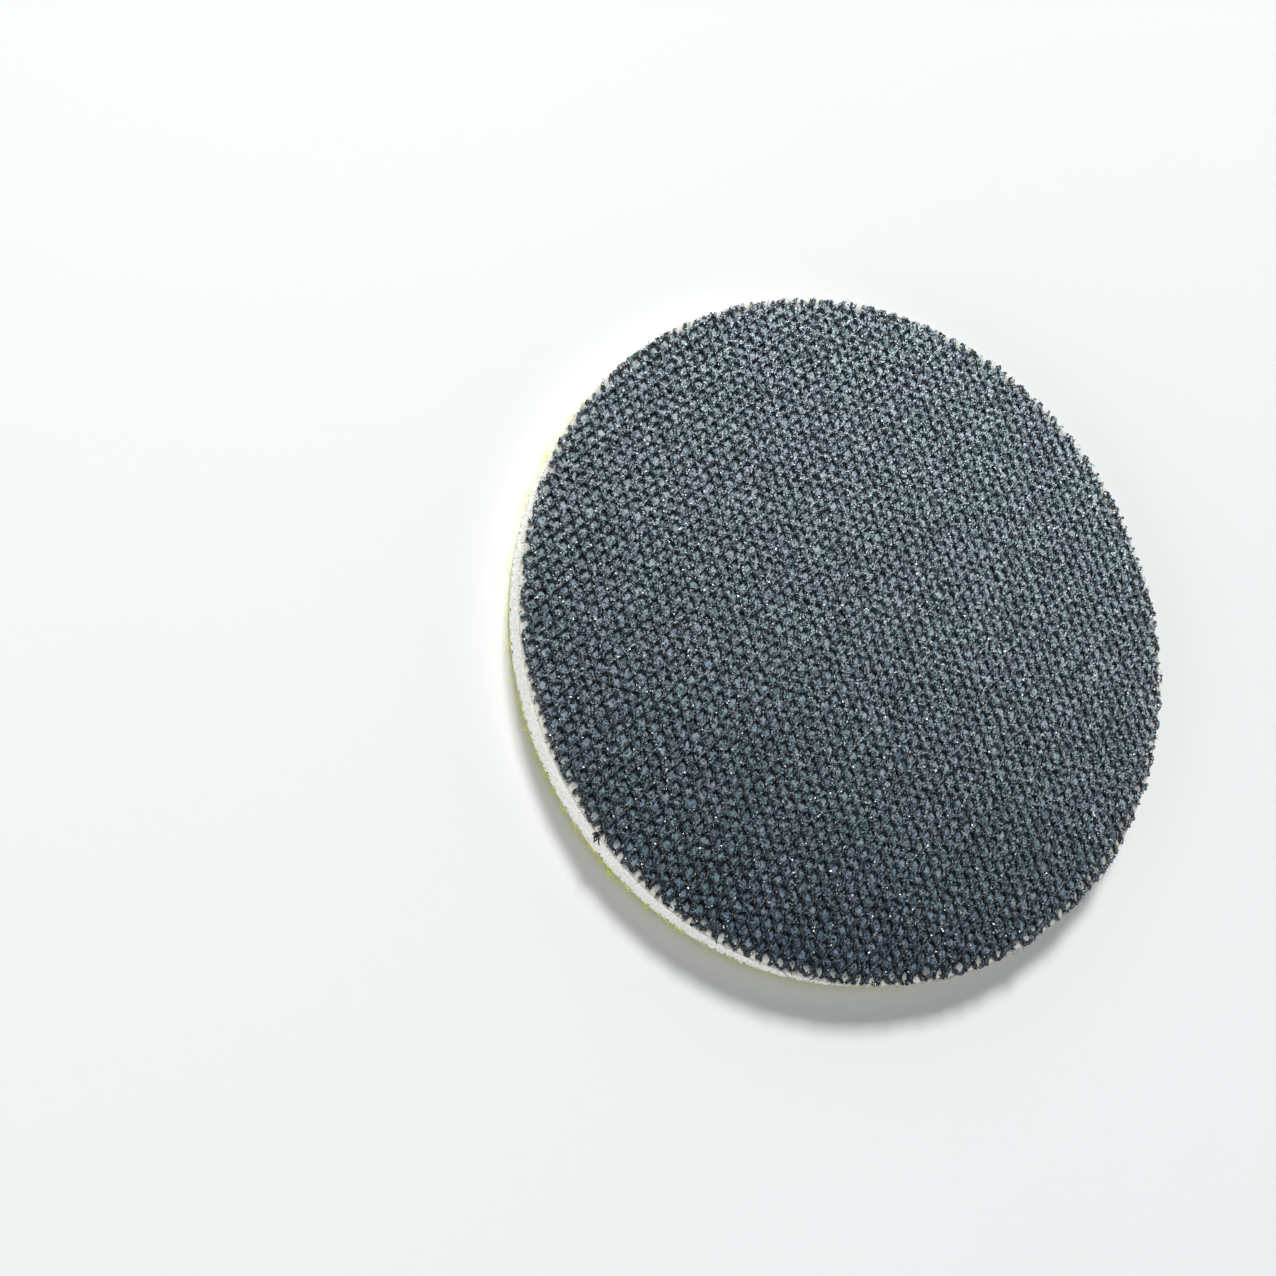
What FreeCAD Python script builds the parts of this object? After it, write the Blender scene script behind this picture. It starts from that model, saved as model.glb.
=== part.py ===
import FreeCAD, Part
import math
import os

# A round polishing disc for a power tool, cut from one bonded sheet: an abrasive net on an
# open-cell foam, with a loop cloth on the back that grips the hooks of the tool's backing plate.
# Units are millimetres. The disc lies on its loops: the origin is the centre of the loop face,
# +Z points to the abrasive face, and +X runs along the wales of the net.

DISC_DIAMETER = 75.0  # nominal 3 inch disc, the same for every layer because one die cuts them all
DISC_THICKNESS = 5.5

LOOP_PILE_HEIGHT = 0.50  # loops that stand out of the backing cloth
GROUND_CLOTH_THICKNESS = 0.30  # knitted ground that holds the loops
BACKING_GLUE_THICKNESS = 0.10  # hot-melt film between the ground cloth and the foam
NET_GLUE_THICKNESS = 0.10  # hot-melt web between the foam and the net
NET_THICKNESS = 0.60  # knitted net with its resin and grit

FOAM_THICKNESS = DISC_THICKNESS - (
    LOOP_PILE_HEIGHT
    + GROUND_CLOTH_THICKNESS
    + BACKING_GLUE_THICKNESS
    + NET_GLUE_THICKNESS
    + NET_THICKNESS
)
FOAM_WAIST_DEPTH = 0.25  # the foam is squeezed as the die cuts it, so its side springs back hollow
PILE_EDGE_RADIUS = 0.20  # the outermost loops lean out and leave a soft lower edge

PARTS_FOLDER = "parts"
UP = FreeCAD.Vector(0, 0, 1)
CENTRE = FreeCAD.Vector(0, 0, 0)


def flat_layer(radius, low, thickness):
    """A plain round layer whose lower face is at height low."""
    return Part.makeCylinder(radius, thickness, FreeCAD.Vector(0, 0, low), UP)


def revolved(edges):
    """The solid that a closed outline in the XZ plane sweeps around the disc's axis."""
    face = Part.Face(Part.Wire(edges))
    return face.revolve(CENTRE, UP, 360)


def at(radius, height):
    """A point of an outline, at that distance from the disc's axis."""
    return FreeCAD.Vector(radius, 0, height)


def foam_layer(radius, low, thickness, waist_depth):
    """A round foam layer whose side is an arc, hollow by waist_depth halfway up."""
    high = low + thickness
    waist = at(radius - waist_depth, low + thickness / 2)
    side = Part.Arc(at(radius, low), waist, at(radius, high)).toShape()
    return revolved(
        [
            Part.makeLine(at(0, low), at(radius, low)),
            side,
            Part.makeLine(at(radius, high), at(0, high)),
            Part.makeLine(at(0, high), at(0, low)),
        ]
    )


def pile_layer(radius, low, thickness, edge_radius):
    """A round layer whose lower outer edge is rounded."""
    high = low + thickness
    inner = radius - edge_radius
    slope = edge_radius * math.sqrt(0.5)
    middle = at(inner + slope, low + edge_radius - slope)
    corner = Part.Arc(at(inner, low), middle, at(radius, low + edge_radius)).toShape()
    return revolved(
        [
            Part.makeLine(at(0, low), at(inner, low)),
            corner,
            Part.makeLine(at(radius, low + edge_radius), at(radius, high)),
            Part.makeLine(at(radius, high), at(0, high)),
            Part.makeLine(at(0, high), at(0, low)),
        ]
    )


def stacked_layers():
    """Every layer by name, each resting on the one before it, from the loops up to the net."""
    radius = DISC_DIAMETER / 2
    order = [
        ("loop_pile", LOOP_PILE_HEIGHT, pile_layer, [PILE_EDGE_RADIUS]),
        ("loop_ground_cloth", GROUND_CLOTH_THICKNESS, flat_layer, []),
        ("backing_glue_film", BACKING_GLUE_THICKNESS, flat_layer, []),
        ("foam_disc", FOAM_THICKNESS, foam_layer, [FOAM_WAIST_DEPTH]),
        ("net_glue_web", NET_GLUE_THICKNESS, flat_layer, []),
        ("abrasive_net", NET_THICKNESS, flat_layer, []),
    ]
    layers = {}
    low = 0.0
    for name, thickness, make, extra in order:
        layers[name] = make(radius, low, thickness, *extra)
        low += thickness
    return layers


def main():
    os.makedirs(PARTS_FOLDER, exist_ok=True)
    for name, shape in stacked_layers().items():
        shape.exportStep(os.path.join(PARTS_FOLDER, name + ".step"))
        print(f"{name}: valid {shape.isValid()}, {shape.Volume:.1f} mm3")


main()
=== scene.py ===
import math

import bpy
import numpy as np
from mathutils import Matrix, Vector, noise


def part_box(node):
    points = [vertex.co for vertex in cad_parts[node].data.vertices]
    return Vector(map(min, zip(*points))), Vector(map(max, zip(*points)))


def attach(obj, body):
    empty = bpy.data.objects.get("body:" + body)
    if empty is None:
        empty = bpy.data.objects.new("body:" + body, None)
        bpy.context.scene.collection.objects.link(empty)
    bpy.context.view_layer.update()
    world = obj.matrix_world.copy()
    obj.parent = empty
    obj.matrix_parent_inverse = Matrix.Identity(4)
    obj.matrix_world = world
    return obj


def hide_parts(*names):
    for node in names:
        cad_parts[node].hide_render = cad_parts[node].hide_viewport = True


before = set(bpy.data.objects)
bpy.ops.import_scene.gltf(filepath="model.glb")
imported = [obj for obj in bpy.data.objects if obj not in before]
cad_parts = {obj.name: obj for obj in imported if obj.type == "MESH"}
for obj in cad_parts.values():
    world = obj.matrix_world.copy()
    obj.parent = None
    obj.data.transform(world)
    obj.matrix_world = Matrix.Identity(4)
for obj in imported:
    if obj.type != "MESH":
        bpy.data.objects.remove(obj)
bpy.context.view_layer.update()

# A 75 mm polishing disc that lies on its loops, abrasive net up. Lengths are in millimetres until
# a mesh is made, and then in metres. +X runs along the wales of the net and +Z out of its face.

MM = 0.001
TURN = 2 * math.pi


def layer_heights(node):
    """The lower and upper height of a CAD layer, in millimetres."""
    low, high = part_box(node)
    return low.z / MM, high.z / MM


PILE_LOW = layer_heights("loop_pile")[0]
CLOTH_LOW, CLOTH_HIGH = layer_heights("loop_ground_cloth")
BACK_GLUE_LOW, BACK_GLUE_HIGH = layer_heights("backing_glue_film")
FOAM_LOW, FOAM_HIGH = layer_heights("foam_disc")
NET_GLUE_LOW, NET_GLUE_HIGH = layer_heights("net_glue_web")
NET_LOW, NET_HIGH = layer_heights("abrasive_net")
RADIUS = (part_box("abrasive_net")[1].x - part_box("abrasive_net")[0].x) / 2 / MM

# Net: a hexagonal warp knit. Two strands to a wale meet their neighbours on alternate sides.
WALE_SPACING = 1.408
ROW_REPEAT = 2.2125  # along a wale, with two rows of openings, one half a wale aside
COURSE_SKEW = 0.092  # how far a course runs back along X for each millimetre of Y
STRAND_HALF_GAP = 0.13  # from the middle of a merge to each of its two strands
STRAND_WIDTH_RADIUS = 0.182
STRAND_HEIGHT_RADIUS = 0.19
STRAND_CRIMP = 0.065  # one strand rides over the other where they meet
MERGE_SHARPNESS = 2.4  # larger makes the merges longer and the slanted legs steeper
PLIES = 3
PLY_DEPTH = 0.16  # of the strand's radius
PLY_TWIST_LENGTH = 1.15
STRAND_STEP = 0.15
STRAND_RING = 9
STRAND_REACH = 1.15  # radii, so that skewed strands still pass the rim
SHORTEST_STRAND = 4  # steps
NET_STRIPS = 5  # the strips that the net is split into, along its wales
NET_CUT_INSET = 0.18  # mean distance of the cut yarn ends inside the rim
WANDER = 0.10  # how far the knit strays from its grid, in slow waves
JITTER = 0.22  # and from stitch to stitch
UNEVEN_YARN = 0.16  # share by which a strand is thicker and thinner along its way
RESIN_ROUGHNESS = 0.06  # share by which the resin moves a strand's surface in and out
CUT_END_SIZE = 0.85  # of the strand's section, where it is cut
CUT_WANDER = 0.14  # how far the line of the cut ends strays from its mean
ACROSS_WALES = np.array([0.0, 1.0, 0.0])

# Grit.
GRAINS = 85000
FLOOR_GRAIN_SHARE = 0.14  # of the grains, those on the glue in the openings
GRAIN_RADIUS = (0.06, 0.145)
COARSE_GRAIN_SHARE = 0.02
COARSE_GRAIN_SIZE = 1.3  # times the others
GRAIN_STRETCH = (0.7, 1.3)  # of each corner, from the middle of its grain
GRAIN_CORNER_JITTER = 0.16  # of the grain's radius
GRAIN_SPREAD = 0.75  # radians round the strand, from its top
GRAIN_SPREAD_LIMIT = 1.7
GRAIN_SCATTER = 0.02
GRAIN_RIM_INSET = 0.15

# How light the face is across X, partly dust and partly painted light and shade: lighter towards -X,
# darker towards +X. Of the strands with their grit, and of the glue in the openings.
DUST_AND_SHADE = {0.0: (1.0, 1.0, 1.0), 0.5: (0.59, 0.60, 0.615), 1.0: (0.06, 0.09, 0.12)}
GLUE_DUST_AND_SHADE = {0.0: (1.0, 1.0, 1.0), 0.5: (0.70, 0.71, 0.72), 1.0: (0.26, 0.315, 0.365)}

# Glue layers. A slab's cells are those of its square grid, from rim to rim.
NET_GLUE_CELLS = 220
NET_GLUE_INSET = 0.12
NET_GLUE_RIPPLE = 0.02
NET_GLUE_SINK = 0.02  # into the foam's open cells
BACK_GLUE_CELLS = 120
BACK_GLUE_INSET = 0.05
BACK_GLUE_RIPPLE = 0.015

# Foam.
FOAM_SIDE_STEP = 0.12
FOAM_WAIST = 0.25  # how far the cut side lies back at half height
FOAM_PORE = 0.42
FOAM_PORE_DEPTH = 0.21
FOAM_PORE_SLOPE = 0.4  # of a pore, from its wall to where it is deepest
FOAM_CAP_INSETS = (0.10, 0.25, 0.5, 1.0, 4.0)

# Loop cloth.
CLOTH_CELLS = 200
CLOTH_INSET = 0.2  # how far the die's pressure has drawn the loop cloth in at the rim
CLOTH_BUMP = 0.05
CLOTH_BUMP_SPACING = 0.9
LOOP_SPACING = 0.64
LOOP_JITTER = 0.07
RIM_LOOP_SPACING = 0.42
RIM_LOOP_JITTER = 0.004  # radians
RIM_LOOP_INSET = (0.1, 0.3)
LOOP_ROOT_DEPTH = 0.08  # inside the ground cloth
LOOP_TURN = 0.5  # radians, the spread of the loops' directions about X
RIM_LOOP_TURN = 0.3  # and of those along the rim about the rim
LOOP_LEAN = 0.09
RIM_LOOP_LEAN = (-0.05, 0.15)  # outward
LOOP_SPAN = 0.62
LOOP_SPAN_SHARE = (0.8, 1.1)
LOOP_DROP_SHARE = (0.8, 1.0)  # of the room between root and table
LOOP_YARN_RADIUS = 0.075
LOOP_YARN_SHARE = (0.85, 1.15)
LOOP_CLEARANCE = 1.2  # yarn radii between the middle of the lowest loops and the table
LOOP_POINTS = 7
LOOP_PANELS = 4
LOOP_PIECES = 4

# Loose fibres round the rim.
NET_FRAYS = 170
TUFT_PLIES = 10
TUFT_ANGLE = math.radians(324.5)  # from +X, where one yarn end has pulled loose
LOOP_FRAYS = 240
FIBRE_POINTS = 6
FIBRE_PANELS = 4
FIBRE_TAPER = 0.4  # share of its thickness that a fibre has lost at its tip

# Stage: a table, and round it a lit white wall that curves up from the floor.
TABLE_HALF = 3000.0  # of its side
BACKDROP_RADIUS = 1500.0
BACKDROP_BEND = 350.0
BACKDROP_HEIGHT = 1050.0
BACKDROP_PANELS = 72
BACKDROP_GLOW = 0.66

# Lamps, each as its place, the side of its square and its watts.
KEY_LAMP = ((-1160, -377, 1440), 420, 36.0)
FILL_LAMP = ((740, -700, 330), 600, 3.0)
WORLD_COLOUR = (0.93, 0.95, 1.0, 1)
WORLD_STRENGTH = 0.08

# Camera, about the middle of the abrasive face.
CAMERA_AZIMUTH = 45.65  # degrees, from -Y towards +X
CAMERA_ELEVATION = 58.55
CAMERA_DISTANCE = 138.1
CAMERA_AIM = (10.7, -23.3)  # where the line of sight meets the abrasive face
CAMERA_ROLL = 51.8
CAMERA_LENS = 36.24
CAMERA_SENSOR = 36.0


# ---------------------------------------------------------------- meshes

def make_piece(name, points, quads, triangles, material, smooth=True):
    """A mesh object from points in millimetres and lists of four and three point faces."""
    quads = np.asarray(quads, np.int32).reshape(-1, 4)
    triangles = np.asarray(triangles, np.int32).reshape(-1, 3)
    mesh = bpy.data.meshes.new(name)
    mesh.vertices.add(len(points))
    mesh.vertices.foreach_set("co", (np.asarray(points) * MM).astype(np.float32).ravel())
    corners = np.concatenate([quads.ravel(), triangles.ravel()])
    mesh.loops.add(len(corners))
    mesh.loops.foreach_set("vertex_index", corners)
    starts = np.concatenate(
        [np.arange(len(quads)) * 4, len(quads) * 4 + np.arange(len(triangles)) * 3]
    )
    mesh.polygons.add(len(starts))
    mesh.polygons.foreach_set("loop_start", starts.astype(np.int32))
    mesh.polygons.foreach_set("use_smooth", np.full(len(starts), smooth))
    mesh.update(calc_edges=True)
    mesh.materials.append(material)
    piece = bpy.data.objects.new(name, mesh)
    bpy.context.scene.collection.objects.link(piece)
    return piece


def unit(vectors):
    return vectors / np.maximum(np.linalg.norm(vectors, axis=-1, keepdims=True), 1e-12)


def tube_frames(centre, reference):
    """Directions along, across and above lines of points, with across near the reference."""
    along = unit(np.gradient(centre, axis=-2))
    across = unit(reference - (reference * along).sum(-1, keepdims=True) * along)
    return along, across, np.cross(along, across)


def closed_skins(rings, starts, ends):
    """Skins over rings of points, each closed by a fan to its start point and one to its end point.

    rings is (skins, rings, corners, 3). Returns points, quads and triangles.
    """
    count, steps, corners, _ = rings.shape
    index = np.arange(count * steps * corners).reshape(count, steps, corners)
    beside = np.roll(index, -1, axis=2)
    quads = np.stack(
        [index[:, :-1], beside[:, :-1], beside[:, 1:], index[:, 1:]], axis=-1
    ).reshape(-1, 4)
    first = count * steps * corners + np.arange(count)[:, None]
    last = first + count
    fans = [
        np.stack([np.broadcast_to(first, beside[:, 0].shape), beside[:, 0], index[:, 0]], -1),
        np.stack([np.broadcast_to(last, index[:, -1].shape), index[:, -1], beside[:, -1]], -1),
    ]
    points = np.concatenate([rings.reshape(-1, 3), starts, ends])
    return points, quads, np.concatenate([fan.reshape(-1, 3) for fan in fans])


def tubes(centre, reference, section):
    """Closed tubes around lines of points.

    centre is (tubes, points, 3) and section (tubes, points, corners, 2), the offsets of each
    ring's corners across and above the line. Returns points, quads and triangles.
    """
    _, across, above = tube_frames(centre, reference)
    rings = (
        centre[:, :, None]
        + section[..., :1] * across[:, :, None]
        + section[..., 1:] * above[:, :, None]
    )
    return closed_skins(rings, centre[:, 0], centre[:, -1])


def joined(parts):
    """Several (points, quads, triangles) as one."""
    points, quads, triangles = [], [], []
    start = 0
    for p, q, t in parts:
        points.append(p)
        quads.append(np.asarray(q).reshape(-1, 4) + start)
        triangles.append(np.asarray(t).reshape(-1, 3) + start)
        start += len(p)
    return np.concatenate(points), np.concatenate(quads), np.concatenate(triangles)


def round_section(corners, across, above):
    angle = np.arange(corners) * TURN / corners
    return np.stack([across * np.cos(angle), above * np.sin(angle)], axis=-1)


def disc_points(cells):
    """A square grid of points mapped evenly onto the unit disc, with the grid's edge on its rim."""
    line = np.linspace(-1, 1, cells + 1)
    x, y = np.meshgrid(line, line, indexing="ij")
    wide = np.abs(x) > np.abs(y)
    radius = np.where(wide, x, y)
    safe = np.where(np.abs(radius) < 1e-9, 1.0, radius)
    angle = np.where(wide, math.pi / 4 * y / safe, math.pi / 2 - math.pi / 4 * x / safe)
    return np.stack([radius * np.cos(angle), radius * np.sin(angle)], axis=-1)


def disc_slab(cells, radius, low, high):
    """A closed round slab on an even grid. low and high give heights from (x, y) arrays."""
    flat = disc_points(cells) * radius
    x, y = flat[..., 0], flat[..., 1]
    top = np.stack([x, y, high(x, y)], -1).reshape(-1, 3)
    bottom = np.stack([x, y, low(x, y)], -1).reshape(-1, 3)
    index = np.arange((cells + 1) ** 2).reshape(cells + 1, cells + 1)
    a, b, c, d = index[:-1, :-1], index[1:, :-1], index[1:, 1:], index[:-1, 1:]
    up = np.stack([a, b, c, d], -1).reshape(-1, 4)
    rim = np.concatenate(
        [index[:-1, 0], index[-1, :-1], index[:0:-1, -1], index[0, :0:-1]]
    )
    after = np.roll(rim, -1)
    under = len(top)
    wall = np.stack([rim, rim + under, after + under, after], -1)
    quads = np.concatenate([up, up[:, ::-1] + under, wall])
    return np.concatenate([top, bottom]), quads, []


def waves(seed, lengths, size):
    """A smooth function of (x, y) that is a sum of slow waves, as large as size at most."""
    random = np.random.default_rng(seed)
    turns = random.uniform(0, TURN, len(lengths))
    starts = random.uniform(0, TURN, len(lengths))

    def height(x, y):
        total = 0.0
        for length, turn, start in zip(lengths, turns, starts):
            total = total + np.sin((x * np.cos(turn) + y * np.sin(turn)) * TURN / length + start)
        return total * size / len(lengths)

    return height


def runs_of(inside):
    """The (start, stop) of each stretch of True."""
    edges = np.flatnonzero(np.diff(np.concatenate([[False], inside, [False]]).astype(int)))
    return list(zip(edges[::2], edges[1::2]))


# ---------------------------------------------------------------- materials

class Shader:
    """A Principled material with short ways to add the nodes that drive it."""

    MIX_FIRST, MIX_SECOND, MIX_RESULT = 6, 7, 2  # the colour sockets of a mix node

    def __init__(self, name, **constants):
        self.material = bpy.data.materials.new(name)
        self.material.use_nodes = True
        self.tree = self.material.node_tree
        self.surface = self.tree.nodes["Principled BSDF"]
        for socket, value in constants.items():
            self.surface.inputs[socket.replace("_", " ")].default_value = value
        self.place = self.tree.nodes.new("ShaderNodeTexCoord").outputs["Object"]

    def node(self, kind, **settings):
        made = self.tree.nodes.new(kind)
        for key, value in settings.items():
            setattr(made, key, value)
        return made

    def link(self, output, socket):
        self.tree.links.new(output, socket)

    def noise(self, per_mm, detail=2.0, stretch=(1, 1, 1)):
        """Noise with that many features to the millimetre."""
        mapping = self.node("ShaderNodeMapping")
        mapping.inputs["Scale"].default_value = stretch
        made = self.node("ShaderNodeTexNoise")
        made.inputs["Scale"].default_value = per_mm / MM
        made.inputs["Detail"].default_value = detail
        self.link(self.place, mapping.inputs["Vector"])
        self.link(mapping.outputs["Vector"], made.inputs["Vector"])
        return made.outputs["Fac"]

    def cells(self, per_mm, feature="DISTANCE_TO_EDGE", output="Distance"):
        made = self.node("ShaderNodeTexVoronoi", feature=feature)
        made.inputs["Scale"].default_value = per_mm / MM
        self.link(self.place, made.inputs["Vector"])
        return made.outputs[output]

    def cell_values(self, per_mm):
        """A value from 0 to 1 that is another one in each small cell."""
        apart = self.node("ShaderNodeSeparateColor")
        self.link(self.cells(per_mm, "F1", "Color"), apart.inputs["Color"])
        return apart.outputs["Red"]

    def ramp(self, value, stops):
        """Colours or greys along a value, as {position: (r, g, b)}."""
        made = self.node("ShaderNodeValToRGB")
        items = sorted(stops.items())
        while len(made.color_ramp.elements) < len(items):
            made.color_ramp.elements.new(0.5)
        for element, (position, colour) in zip(made.color_ramp.elements, items):
            element.position = position
            element.color = (*colour, 1)
        self.link(value, made.inputs["Fac"])
        return made.outputs["Color"]

    def mix(self, share, first, second, blend="MIX"):
        """Two colours mixed. Each of the three is an output or a constant."""
        made = self.node("ShaderNodeMix", data_type="RGBA", blend_type=blend)
        for socket, value in (
            (made.inputs["Factor"], share),
            (made.inputs[self.MIX_FIRST], first),
            (made.inputs[self.MIX_SECOND], second),
        ):
            if isinstance(value, bpy.types.NodeSocket):
                self.link(value, socket)
            else:
                socket.default_value = value if isinstance(value, float) else (*value, 1)
        return made.outputs[self.MIX_RESULT]

    def between(self, value, low, high):
        made = self.node("ShaderNodeMapRange")
        made.inputs["To Min"].default_value = low
        made.inputs["To Max"].default_value = high
        self.link(value, made.inputs["Value"])
        return made.outputs["Result"]

    def between_places(self, distance, low_mm, high_mm):
        """From 0 to 1 as a distance goes from low_mm to high_mm."""
        made = self.node("ShaderNodeMapRange")
        made.inputs["From Min"].default_value = low_mm * MM
        made.inputs["From Max"].default_value = high_mm * MM
        self.link(distance, made.inputs["Value"])
        return made.outputs["Result"]

    def axis(self, name, low_mm, high_mm):
        """From 0 to 1 between two places on the X, Y or Z axis."""
        apart = self.node("ShaderNodeSeparateXYZ")
        self.link(self.place, apart.inputs["Vector"])
        return self.between_places(apart.outputs[name], low_mm, high_mm)

    def outward(self, low_mm, high_mm):
        """From 0 to 1 between two distances from the Z axis."""
        flat = self.node("ShaderNodeVectorMath", operation="MULTIPLY")
        flat.inputs[1].default_value = (1, 1, 0)
        self.link(self.place, flat.inputs[0])
        length = self.node("ShaderNodeVectorMath", operation="LENGTH")
        self.link(flat.outputs["Vector"], length.inputs[0])
        return self.between_places(length.outputs["Value"], low_mm, high_mm)

    def dusted_and_shaded(self, colour, stops):
        """A colour of the abrasive face, lighter towards -X and darker towards +X: partly dust, partly
        painted light and shade.
        """
        dust = self.ramp(self.axis("X", -RADIUS, RADIUS), stops)
        tint = self.ramp(self.noise(0.16, 1), {0.4: (1.0, 0.965, 1.0), 0.6: (0.94, 1.0, 0.97)})
        return self.mix(1.0, self.mix(1.0, colour, dust, "MULTIPLY"), tint, "MULTIPLY")

    def colour(self, output):
        self.link(output, self.surface.inputs["Base Color"])

    def roughness(self, value, low, high):
        self.link(self.between(value, low, high), self.surface.inputs["Roughness"])

    def bump(self, value, depth_mm, strength=1.0):
        made = self.node("ShaderNodeBump")
        made.inputs["Strength"].default_value = strength
        made.inputs["Distance"].default_value = depth_mm * MM
        self.link(value, made.inputs["Height"])
        self.link(made.outputs["Normal"], self.surface.inputs["Normal"])


def net_material():
    s = Shader("charcoal_net_yarn", Specular_IOR_Level=0.3)
    clumps = s.noise(4.5, 3)
    resin = s.ramp(
        clumps, {0.45: (0.003, 0.006, 0.008), 0.51: (0.08, 0.115, 0.145), 0.58: (0.32, 0.43, 0.50)}
    )
    # Painted shade: the strands' lower sides, down in the openings, go near black; this is partly the
    # black resin there. The rest darkens towards +X, partly dust and partly painted shade.
    shade = s.axis("Z", NET_LOW + 0.24, NET_LOW + 0.42)
    s.colour(s.mix(shade, (0.003, 0.006, 0.009), s.dusted_and_shaded(resin, DUST_AND_SHADE)))
    s.roughness(clumps, 0.35, 0.65)
    s.bump(s.noise(11, 2), 0.03, 0.8)
    return s.material


def grit_material():
    s = Shader("dark_grit", Specular_IOR_Level=0.9)
    kind = s.cell_values(4.2)
    # The palest grains, near white, are painted glints on the dark grit.
    tone_and_glints = s.ramp(
        kind, {0.42: (0.003, 0.006, 0.008), 0.5: (0.20, 0.27, 0.32), 0.75: (0.88, 0.98, 1.0)}
    )
    s.colour(s.dusted_and_shaded(tone_and_glints, DUST_AND_SHADE))
    s.roughness(s.noise(11, 1), 0.08, 0.42)
    s.bump(s.noise(30, 1), 0.01, 0.3)
    return s.material


def net_glue_material():
    s = Shader("dusty_hot_melt", Specular_IOR_Level=0.4)
    dust = s.noise(1.1, 3)
    grey = s.ramp(
        dust, {0.35: (0.25, 0.335, 0.39), 0.55: (0.58, 0.72, 0.81), 0.7: (0.80, 0.93, 0.99)}
    )
    specks = s.ramp(
        s.cell_values(5), {0.2: (0.03, 0.04, 0.05), 0.35: (0.8, 0.8, 0.8), 0.95: (1, 1, 1)}
    )
    # The glue darkens towards +X: partly dust, partly painted shade.
    speckled = s.mix(0.85, s.dusted_and_shaded(grey, GLUE_DUST_AND_SHADE), specks, "MULTIPLY")
    s.colour(s.mix(s.outward(RADIUS - 1.4, RADIUS - 0.3), speckled, (0.62, 0.61, 0.53)))
    s.roughness(s.noise(5, 2), 0.35, 0.6)
    s.bump(s.noise(6, 3), 0.05, 0.6)
    return s.material


def foam_material():
    s = Shader("open_cell_foam", Roughness=0.9, Sheen_Weight=0.1, Specular_IOR_Level=0.25)
    walls = s.cells(1 / FOAM_PORE)
    # Painted shade: each foam cell is darker in its middle, the hollow of its pore, than at its walls.
    pores = s.ramp(
        walls, {0.0: (0.92, 0.92, 0.89), 0.12: (0.86, 0.86, 0.82), 0.5: (0.66, 0.655, 0.61)}
    )
    tint = s.ramp(s.noise(0.35, 3), {0.3: (0.95, 0.95, 0.93), 0.7: (1, 1, 1)})
    s.colour(s.mix(1.0, pores, tint, "MULTIPLY"))
    s.bump(s.noise(9, 3), 0.05, 0.6)
    return s.material


def back_glue_material():
    s = Shader("backing_hot_melt", Specular_IOR_Level=0.5)
    s.colour(s.ramp(s.noise(1.5, 2), {0.3: (0.72, 0.72, 0.42), 0.7: (0.85, 0.85, 0.66)}))
    s.roughness(s.noise(4, 2), 0.25, 0.5)
    s.bump(s.noise(5, 2), 0.03, 0.5)
    return s.material


def yellow_cloth_material():
    s = Shader("yellow_ground_knit", Roughness=0.85, Sheen_Weight=0.3, Specular_IOR_Level=0.3)
    threads = s.noise(6, 2, (1, 4, 1))
    s.colour(s.ramp(threads, {0.3: (0.74, 0.75, 0.005), 0.7: (0.90, 0.91, 0.015)}))
    s.bump(threads, 0.04, 0.6)
    return s.material


def yellow_loop_material():
    s = Shader("yellow_loops", Sheen_Weight=0.4, Specular_IOR_Level=0.4)
    filaments = s.noise(9, 2, (3, 3, 1))
    s.colour(s.ramp(filaments, {0.3: (0.80, 0.81, 0.003), 0.7: (0.95, 0.96, 0.02)}))
    s.roughness(filaments, 0.5, 0.75)
    s.bump(filaments, 0.02, 0.5)
    return s.material


# ---------------------------------------------------------------- abrasive net

def strand_line(wale, side, along):
    """The middle line of one of a wale's two strands: side is -1 or 1."""
    turn = along * TURN / ROW_REPEAT
    away = 0.5 * (1 - np.tanh(MERGE_SHARPNESS * np.cos(turn)) / math.tanh(MERGE_SHARPNESS))
    swing = STRAND_HALF_GAP + (WALE_SPACING / 2 - 2 * STRAND_HALF_GAP) * away
    across = (wale + 0.5) * WALE_SPACING + side * swing
    lift = side * STRAND_CRIMP * np.cos(turn)
    return across, lift


def strand_section(count, travelled, random):
    """Rings of a strand of twisted plies, roughened by its resin."""
    angle = np.arange(STRAND_RING) * TURN / STRAND_RING
    twist = travelled[:, None] * TURN / PLY_TWIST_LENGTH
    lobes = 1 + PLY_DEPTH * np.cos(PLIES * (angle[None] - twist))
    rough = 1 + random.normal(0, RESIN_ROUGHNESS, (count, STRAND_RING))
    phase = random.uniform(0, TURN, 3)
    swell = np.sin(travelled[:, None] * TURN / np.array([0.9, 1.7, 3.1]) + phase).sum(1)
    reach = lobes * rough * (1 + UNEVEN_YARN / 2 * swell[:, None])
    section = np.stack(
        [
            reach * STRAND_WIDTH_RADIUS * np.cos(angle),
            reach * STRAND_HEIGHT_RADIUS * np.sin(angle),
        ],
        axis=-1,
    )
    section[[0, -1]] *= CUT_END_SIZE
    return section


def strand_lines():
    """Every (wale, middle line) of the knit, with its skew and its uneven stitches, before the cut."""
    stray_x = waves(21, (17, 29, 41), WANDER)
    stray_y = waves(22, (15, 26, 47), WANDER)
    jolt_x = waves(24, (1.7, 2.1, 2.7, 3.3, 4.9), JITTER)
    jolt_y = waves(25, (1.8, 2.3, 2.9, 3.7, 5.3), JITTER)
    middle = NET_LOW + STRAND_HEIGHT_RADIUS + STRAND_CRIMP
    last = math.ceil(RADIUS / WALE_SPACING) + 1
    reach = RADIUS * STRAND_REACH
    along = np.arange(-reach, reach, STRAND_STEP)
    for wale in range(-last, last + 1):
        for side in (-1, 1):
            across, lift = strand_line(wale, side, along)
            x = along - COURSE_SKEW * across
            aside = stray_y(x, across) + jolt_y(x, across)
            ahead = x + stray_x(x, across) + jolt_x(x, across)
            yield wale, np.stack([ahead, across + aside, middle + lift], -1)


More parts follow.
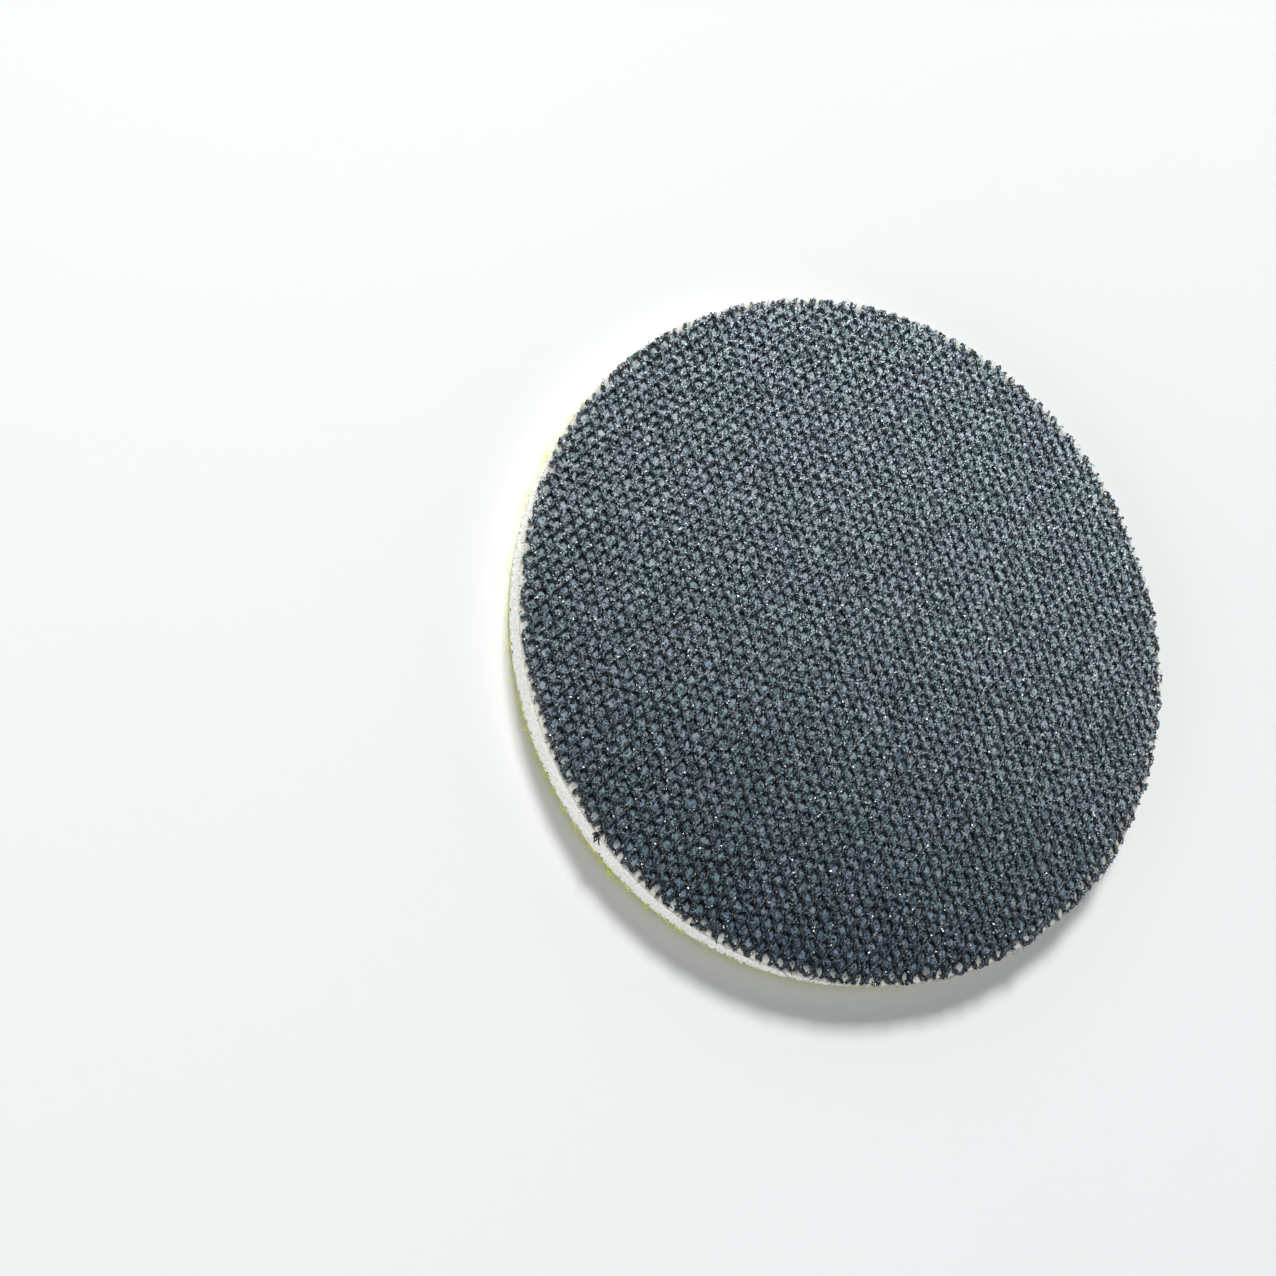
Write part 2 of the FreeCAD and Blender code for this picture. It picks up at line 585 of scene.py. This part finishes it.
def net_strands():
    """Every strand inside the rim as (wale, points of its middle line, sections)."""
    random = np.random.default_rng(11)
    cut = waves(23, (3.1, 4.3, 6.7), CUT_WANDER)
    found = []
    for wale, line in strand_lines():
        limit = RADIUS - NET_CUT_INSET + cut(line[:, 0], line[:, 1])
        inside = np.hypot(line[:, 0], line[:, 1]) < limit
        for start, stop in runs_of(inside):
            start = start - random.integers(0, 2)
            if stop - start < SHORTEST_STRAND:
                continue
            points = line[start:stop]
            step = np.linalg.norm(np.diff(points, axis=0), axis=1)
            travelled = np.concatenate([[0], np.cumsum(step)]) + random.uniform(0, 1)
            section = strand_section(len(points), travelled, random)
            found.append((wale, points, section))
    return found


def strip_of(wale):
    """The strip of the net that a wale is in. All strips have about the same length of yarn."""
    position = np.clip((wale + 0.5) * WALE_SPACING / RADIUS, -1, 1)
    share = 0.5 + (position * math.sqrt(1 - position**2) + math.asin(position)) / math.pi
    return min(NET_STRIPS - 1, int(share * NET_STRIPS))


def grain_shapes(centre, size, random):
    """Sharp eight-sided grains, each turned and stretched its own way."""
    count = len(centre)
    corners = np.array(
        [[1, 0, 0], [0, 1, 0], [-1, 0, 0], [0, -1, 0], [0, 0, 1], [0, 0, -1]], float
    )
    sides = np.array(
        [[0, 1, 4], [1, 2, 4], [2, 3, 4], [3, 0, 4], [1, 0, 5], [2, 1, 5], [3, 2, 5], [0, 3, 5]]
    )
    shape = corners * random.uniform(*GRAIN_STRETCH, (count, 6, 1))
    shape = shape + random.normal(0, GRAIN_CORNER_JITTER, (count, 6, 3))
    a = unit(random.normal(size=(count, 3)))
    b = unit(np.cross(a, random.normal(size=(count, 3))))
    turned = np.einsum("nij,njk->nik", shape, np.stack([a, b, np.cross(a, b)], 1))
    points = centre[:, None] + turned * size[:, None, None]
    faces = sides[None] + 6 * np.arange(count)[:, None, None]
    return points.reshape(-1, 3), [], faces.reshape(-1, 3)


def grains_on(strands, count, random):
    """Grains bonded to the upper side of the strands, and some in the openings beside them."""
    centres = np.concatenate([p for _, p, _ in strands])
    frames = [tube_frames(p, ACROSS_WALES) for _, p, _ in strands]
    across = np.concatenate([f[1] for f in frames])
    above = np.concatenate([f[2] for f in frames])
    pick = random.integers(0, len(centres), count)
    angle = random.normal(0, GRAIN_SPREAD, count).clip(-GRAIN_SPREAD_LIMIT, GRAIN_SPREAD_LIMIT)
    angle = angle[:, None]
    size = random.uniform(*GRAIN_RADIUS, count)
    size = size * np.where(random.random(count) < COARSE_GRAIN_SHARE, COARSE_GRAIN_SIZE, 1)
    place = (
        centres[pick]
        + across[pick] * STRAND_WIDTH_RADIUS * np.sin(angle)
        + above[pick] * STRAND_HEIGHT_RADIUS * np.cos(angle)
        + random.normal(0, GRAIN_SCATTER, (count, 3))
    )
    fallen = random.random(count) < FLOOR_GRAIN_SHARE
    place[fallen, 1] += random.uniform(-0.5, 0.5, fallen.sum()) * WALE_SPACING
    place[fallen, 2] = NET_GLUE_HIGH + GRAIN_SCATTER
    inside = np.hypot(place[:, 0], place[:, 1]) < RADIUS - GRAIN_RIM_INSET
    place, size = place[inside], size[inside]
    place[:, 2] = np.minimum(place[:, 2], NET_HIGH - size)
    return grain_shapes(place, size, random)


def make_net():
    """The net in strips along its wales, each as (net, grit, low Y, high Y)."""
    yarn, grit = net_material(), grit_material()
    strips = [[] for _ in range(NET_STRIPS)]
    for strand in net_strands():
        strips[strip_of(strand[0])].append(strand)
    made = []
    for number, strands in enumerate(strips, 1):
        random = np.random.default_rng(100 + number)
        parts = [tubes(p[None], ACROSS_WALES, s[None]) for _, p, s in strands]
        net = make_piece(f"abrasive_net_{number}", *joined(parts), yarn)
        grains = grains_on(strands, GRAINS // NET_STRIPS, random)
        coat = make_piece(f"abrasive_grit_{number}", *grains, grit, smooth=False)
        wales = [w for w, _, _ in strands]
        low = max(-RADIUS, min(wales) * WALE_SPACING)
        high = min(RADIUS, (max(wales) + 1) * WALE_SPACING)
        made.append((net, coat, low, high))
    return made


def chord_area(low, high):
    """The area of the disc between two lines along X, in square millimetres."""
    def below(y):
        y = min(max(y / RADIUS, -1), 1)
        return RADIUS**2 * (y * math.sqrt(1 - y * y) + math.asin(y))

    return below(high) - below(low)


# ---------------------------------------------------------------- glue, foam and backing

def make_net_glue():
    ripple = waves(31, (1.9, 2.3, 2.9, 3.7), NET_GLUE_RIPPLE)
    slab = disc_slab(
        NET_GLUE_CELLS,
        RADIUS - NET_GLUE_INSET,
        lambda x, y: np.full_like(x, NET_GLUE_LOW - NET_GLUE_SINK),
        lambda x, y: NET_GLUE_HIGH - NET_GLUE_RIPPLE + ripple(x, y),
    )
    return make_piece("net_glue_layer", *slab, net_glue_material())


def pore_depth(points):
    """How far a cut foam surface lies back at each point: nothing on a cell wall, most mid-cell."""
    depth = np.empty(len(points))
    for i, p in enumerate(points / FOAM_PORE):
        near, _ = noise.voronoi(Vector(p))
        depth[i] = min(1.0, (near[1] - near[0]) / FOAM_PORE_SLOPE)
    return depth**0.8 * FOAM_PORE_DEPTH


def make_foam():
    """The foam disc, with pores in its cut side and rings of points on both faces."""
    around = round(TURN * RADIUS / FOAM_SIDE_STEP)
    angle = np.arange(around) * TURN / around
    levels = np.linspace(FOAM_LOW, FOAM_HIGH, round((FOAM_HIGH - FOAM_LOW) / FOAM_SIDE_STEP) + 1)
    middle, half = (FOAM_LOW + FOAM_HIGH) / 2, (FOAM_HIGH - FOAM_LOW) / 2
    waist = FOAM_WAIST * (1 - ((levels - middle) / half) ** 2)
    rings = [(RADIUS - inset, FOAM_LOW) for inset in reversed(FOAM_CAP_INSETS)]
    rings += [(RADIUS - pull, level) for pull, level in zip(waist, levels)]
    rings += [(RADIUS - inset, FOAM_HIGH) for inset in FOAM_CAP_INSETS]
    rings = np.array(rings)
    radius = rings[:, :1]
    height = np.broadcast_to(rings[:, 1:], (len(rings), around))
    points = np.stack([radius * np.cos(angle), radius * np.sin(angle), height], axis=-1)
    first, last = len(FOAM_CAP_INSETS), len(rings) - len(FOAM_CAP_INSETS)
    side = points[first:last].reshape(-1, 3)
    outward = unit(side * [1, 1, 0])
    side = side - outward * pore_depth(side)[:, None]
    points[first:last] = side.reshape(last - first, around, 3)
    skin = closed_skins(points[None], [[0, 0, FOAM_LOW]], [[0, 0, FOAM_HIGH]])
    return make_piece("foam_core", *skin, foam_material())


def make_back_glue():
    ripple = waves(41, (2.1, 3.3, 4.7), BACK_GLUE_RIPPLE)
    slab = disc_slab(
        BACK_GLUE_CELLS,
        RADIUS - BACK_GLUE_INSET,
        lambda x, y: np.full_like(x, BACK_GLUE_LOW),
        lambda x, y: BACK_GLUE_HIGH - BACK_GLUE_RIPPLE + ripple(x, y),
    )
    return make_piece("backing_glue_layer", *slab, back_glue_material())


def make_ground_cloth():
    """The knitted ground, with an even grid of small bumps on its lower face."""
    def bumps(x, y):
        grid = np.cos(y * TURN / CLOTH_BUMP_SPACING) * np.cos(x * TURN / CLOTH_BUMP_SPACING)
        return CLOTH_LOW + CLOTH_BUMP * (1 + grid)

    slab = disc_slab(
        CLOTH_CELLS,
        RADIUS - CLOTH_INSET,
        bumps,
        lambda x, y: np.full_like(x, CLOTH_HIGH),
    )
    return make_piece("ground_knit", *slab, yellow_cloth_material())


def loop_lines(root, turn, lean, span, drop):
    """Loops that hang from their roots: out, down and back in a teardrop.

    turn is the direction in which a loop opens, span its width, drop its height, and lean how far
    its foot stands from its root. Returns the loops' points and their directions.
    """
    t = np.linspace(0, 1, LOOP_POINTS)
    out = 0.5 * span[:, None] * -np.cos(math.pi * t) * (1 + 0.25 * np.sin(math.pi * t))
    down = drop[:, None] * np.sin(math.pi * t) ** 0.7
    ahead = np.stack([np.cos(turn), np.sin(turn)], -1)
    leaning = (down / drop[:, None])[..., None] * lean[:, None]
    xy = root[:, None, :2] + out[..., None] * ahead[:, None] + leaning
    z = root[:, None, 2] - down
    return np.concatenate([xy, z[..., None]], -1), ahead


def loop_roots(random):
    """The (x, y) of roots in rows over the cloth, those in a ring at its rim, and their angles."""
    count = round(2 * RADIUS / LOOP_SPACING) + 2
    line = (np.arange(count) - (count - 1) / 2) * LOOP_SPACING
    x, y = np.meshgrid(line, line)
    x = x + np.where(np.arange(count) % 2, LOOP_SPACING / 2, 0)[:, None]
    xy = np.stack([x.ravel(), y.ravel()], -1) + random.normal(0, LOOP_JITTER, (count * count, 2))
    reach = RADIUS - LOOP_SPAN / 2
    xy = xy[np.hypot(*xy.T) < reach]
    rim_count = round(TURN * RADIUS / RIM_LOOP_SPACING)
    angle = np.arange(rim_count) * TURN / rim_count + random.normal(0, RIM_LOOP_JITTER, rim_count)
    rim_reach = RADIUS - CLOTH_INSET - random.uniform(*RIM_LOOP_INSET, rim_count)
    rim = np.stack([rim_reach * np.cos(angle), rim_reach * np.sin(angle)], -1)
    return xy, rim, angle


def make_pile():
    """Loops over the whole cloth, and a closer ring of them along its rim."""
    random = np.random.default_rng(51)
    rows, rim, rim_angle = loop_roots(random)
    roots = np.concatenate([rows, rim])
    total = len(roots)
    roots = np.column_stack([roots, np.full(total, CLOTH_LOW + LOOP_ROOT_DEPTH)])
    turn = random.normal(0, LOOP_TURN, total)
    turn[len(rows):] = rim_angle + math.pi / 2 + random.normal(0, RIM_LOOP_TURN, len(rim))
    lean = random.normal(0, LOOP_LEAN, (total, 2))
    lean[len(rows):] += unit(rim) * random.uniform(*RIM_LOOP_LEAN, (len(rim), 1))
    span = random.uniform(*LOOP_SPAN_SHARE, total) * LOOP_SPAN
    room = roots[:, 2] - PILE_LOW - LOOP_CLEARANCE * LOOP_YARN_RADIUS
    drop = room * random.uniform(*LOOP_DROP_SHARE, total)
    centre, ahead = loop_lines(roots, turn, lean, span, drop)
    across = np.column_stack([-ahead[:, 1], ahead[:, 0], np.zeros(total)])[:, None]
    thick = LOOP_YARN_RADIUS * random.uniform(*LOOP_YARN_SHARE, total)
    section = round_section(LOOP_PANELS, 1.0, 1.0)[None, None] * thick[:, None, None, None]
    section = np.broadcast_to(section, (total, LOOP_POINTS, LOOP_PANELS, 2))
    yarn = yellow_loop_material()
    groups = np.array_split(np.arange(total), LOOP_PIECES)
    return [
        make_piece(f"loop_pile_{n}", *tubes(centre[g], across[g], section[g]), yarn)
        for n, g in enumerate(groups, 1)
    ]


# ---------------------------------------------------------------- loose fibres at the rim

def fibres(angle, inset, height, length, fall, curl, thick, random):
    """Thin bent fibres that stand out from the rim.

    curl is one number for all of them. The other arguments hold one value for each fibre.
    """
    t = np.linspace(0, 1, FIBRE_POINTS)
    out = np.column_stack([np.cos(angle), np.sin(angle), np.zeros(len(angle))])
    aside = np.cross(out, [0, 0, 1])
    sway, bend = random.normal(0, curl, (2, len(angle)))
    sideways = length[:, None] * (sway[:, None] * t + bend[:, None] * t**2)
    centre = (
        out[:, None] * (RADIUS - inset[:, None] + length[:, None] * t)[..., None]
        + aside[:, None] * sideways[..., None]
        + np.array([0, 0, 1]) * (height[:, None] - fall[:, None] * t**2)[..., None]
    )
    taper = thick[:, None, None, None] * (1 - FIBRE_TAPER * t)[None, :, None, None]
    section = round_section(FIBRE_PANELS, 1.0, 1.0)[None, None] * taper
    return tubes(centre, np.array([0.0, 0.0, 1.0]), section)


def make_net_frays():
    """Cut ends of the net's filaments, and one yarn end that has pulled loose."""
    random = np.random.default_rng(61)
    cut = fibres(
        angle=random.uniform(0, TURN, NET_FRAYS),
        inset=random.uniform(0.2, 0.45, NET_FRAYS),
        height=random.uniform(NET_LOW + 0.05, NET_HIGH - 0.15, NET_FRAYS),
        length=random.uniform(0.2, 0.5, NET_FRAYS),
        fall=random.uniform(-0.05, 0.4, NET_FRAYS),
        curl=0.6,
        thick=random.uniform(0.02, 0.045, NET_FRAYS),
        random=random,
    )
    tuft = fibres(
        angle=TUFT_ANGLE + random.normal(0, 0.005, TUFT_PLIES),
        inset=random.uniform(-0.1, 0.3, TUFT_PLIES),
        height=random.uniform(NET_LOW - 0.2, NET_LOW + 0.2, TUFT_PLIES),
        length=random.uniform(0.3, 0.65, TUFT_PLIES),
        fall=random.uniform(-0.1, 0.5, TUFT_PLIES),
        curl=1.0,
        thick=random.uniform(0.07, 0.12, TUFT_PLIES),
        random=random,
    )
    return make_piece("net_frays", *joined([cut, tuft]), net_material())


def make_loop_frays():
    """Broken loop fibres that have worked out past the cut edge."""
    random = np.random.default_rng(62)
    loose = fibres(
        angle=random.uniform(0, TURN, LOOP_FRAYS),
        inset=random.uniform(0.3, 0.5, LOOP_FRAYS),
        height=random.uniform(CLOTH_LOW - 0.1, CLOTH_HIGH, LOOP_FRAYS),
        length=random.uniform(0.3, 1.1, LOOP_FRAYS),
        fall=random.uniform(-0.3, 0.2, LOOP_FRAYS),
        curl=0.7,
        thick=random.uniform(0.02, 0.04, LOOP_FRAYS),
        random=random,
    )
    return make_piece("loop_frays", *loose, yellow_loop_material())


# ---------------------------------------------------------------- floor, light and camera

def make_floor():
    s = Shader("pale_table", Roughness=0.6, Specular_IOR_Level=0.2)
    s.colour(s.ramp(s.noise(0.004, 2), {0.3: (0.735, 0.745, 0.745), 0.7: (0.75, 0.755, 0.755)}))
    corners = np.array([[-1, -1, 0], [1, -1, 0], [1, 1, 0], [-1, 1, 0]]) * TABLE_HALF
    return make_piece("table", corners, [[0, 1, 2, 3]], [], s.material)


def make_backdrop():
    """A lit white wall round the floor, curved up from it and open at the top."""
    s = Shader(
        "lit_backdrop",
        Roughness=0.9,
        Specular_IOR_Level=0.0,
        Base_Color=(0.3, 0.3, 0.3, 1),
        Emission_Color=(0.94, 0.97, 1.0, 1),
        Emission_Strength=BACKDROP_GLOW,
    )
    bend = np.linspace(0, math.pi / 2, 10)
    radius = BACKDROP_RADIUS - BACKDROP_BEND * (1 - np.sin(bend))
    height = BACKDROP_BEND * (1 - np.cos(bend))
    radius, height = np.append(radius, BACKDROP_RADIUS), np.append(height, BACKDROP_HEIGHT)
    around = BACKDROP_PANELS
    angle = np.arange(around) * TURN / around
    points = np.stack(
        [
            radius[:, None] * np.cos(angle),
            radius[:, None] * np.sin(angle),
            np.repeat(height[:, None], around, axis=1),
        ],
        axis=-1,
    )
    index = np.arange(len(radius) * around).reshape(len(radius), around)
    beside = np.roll(index, -1, axis=1)
    quads = np.stack([index[:-1], index[1:], beside[1:], beside[:-1]], -1).reshape(-1, 4)
    return make_piece("backdrop", points.reshape(-1, 3), quads, [], s.material)


def camera_frame():
    """The camera's place and its axes, with the line of sight through the aim point."""
    azimuth, elevation = math.radians(CAMERA_AZIMUTH), math.radians(CAMERA_ELEVATION)
    offset = Vector(
        (
            math.cos(elevation) * math.sin(azimuth),
            -math.cos(elevation) * math.cos(azimuth),
            math.sin(elevation),
        )
    )
    face = Vector((0, 0, NET_HIGH))
    place = face + offset * CAMERA_DISTANCE
    ahead = (Vector((*CAMERA_AIM, NET_HIGH)) - place).normalized()
    level_right = ahead.cross(Vector((0, 0, 1))).normalized()
    level_up = level_right.cross(ahead)
    roll = math.radians(CAMERA_ROLL)
    right = level_right * math.cos(roll) + level_up * math.sin(roll)
    return place, right, right.cross(ahead), ahead


def make_camera():
    place, right, up, ahead = camera_frame()
    data = bpy.data.cameras.new("camera")
    data.lens, data.sensor_width, data.clip_start = CAMERA_LENS, CAMERA_SENSOR, 0.005
    camera = bpy.data.objects.new("camera", data)
    axes = Matrix((right, up, -ahead)).transposed().to_4x4()
    camera.matrix_world = Matrix.Translation(place * MM) @ axes
    bpy.context.scene.collection.objects.link(camera)
    bpy.context.scene.camera = camera


def make_lamp(name, place_mm, size_mm, watts):
    """A square lamp that faces the disc."""
    data = bpy.data.lights.new(name, "AREA")
    data.size, data.energy = size_mm * MM, watts
    lamp = bpy.data.objects.new(name, data)
    place = Vector(place_mm) * MM
    lamp.matrix_world = Matrix.Translation(place) @ place.to_track_quat("Z", "Y").to_matrix().to_4x4()
    bpy.context.scene.collection.objects.link(lamp)


def make_light():
    world = bpy.data.worlds.new("studio")
    world.use_nodes = True
    back = world.node_tree.nodes["Background"]
    back.inputs["Color"].default_value = WORLD_COLOUR
    back.inputs["Strength"].default_value = WORLD_STRENGTH
    bpy.context.scene.world = world
    make_lamp("key", *KEY_LAMP)
    make_lamp("fill", *FILL_LAMP)
    bpy.context.scene.view_settings.view_transform = "Standard"


def dress(piece, slot, *nodes):
    """Fix a piece to the body and hide the CAD nodes it replaces; slot is not used."""
    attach(piece, "root")
    if nodes:
        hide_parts(*nodes)
    return piece


make_camera()
make_light()
floor = make_floor()
make_backdrop()

net_strips = make_net()
for net_piece, grit_piece, _, _ in net_strips:
    dress(net_piece, "abrasive_net", "abrasive_net")
    dress(grit_piece, "abrasive_net")
net_glue = dress(make_net_glue(), "glue", "net_glue_web")
foam = dress(make_foam(), "foam", "foam_disc")
back_glue = dress(make_back_glue(), "glue", "backing_glue_film")
ground_cloth = dress(make_ground_cloth(), "loop_cloth", "loop_ground_cloth")
pile = [dress(piece, "loop_pile", "loop_pile") for piece in make_pile()]
dress(make_net_frays(), "abrasive_net")
dress(make_loop_frays(), "loop_pile")

for net_piece, grit_piece, low, high in net_strips:
    chord_area(low, high) * MM**2
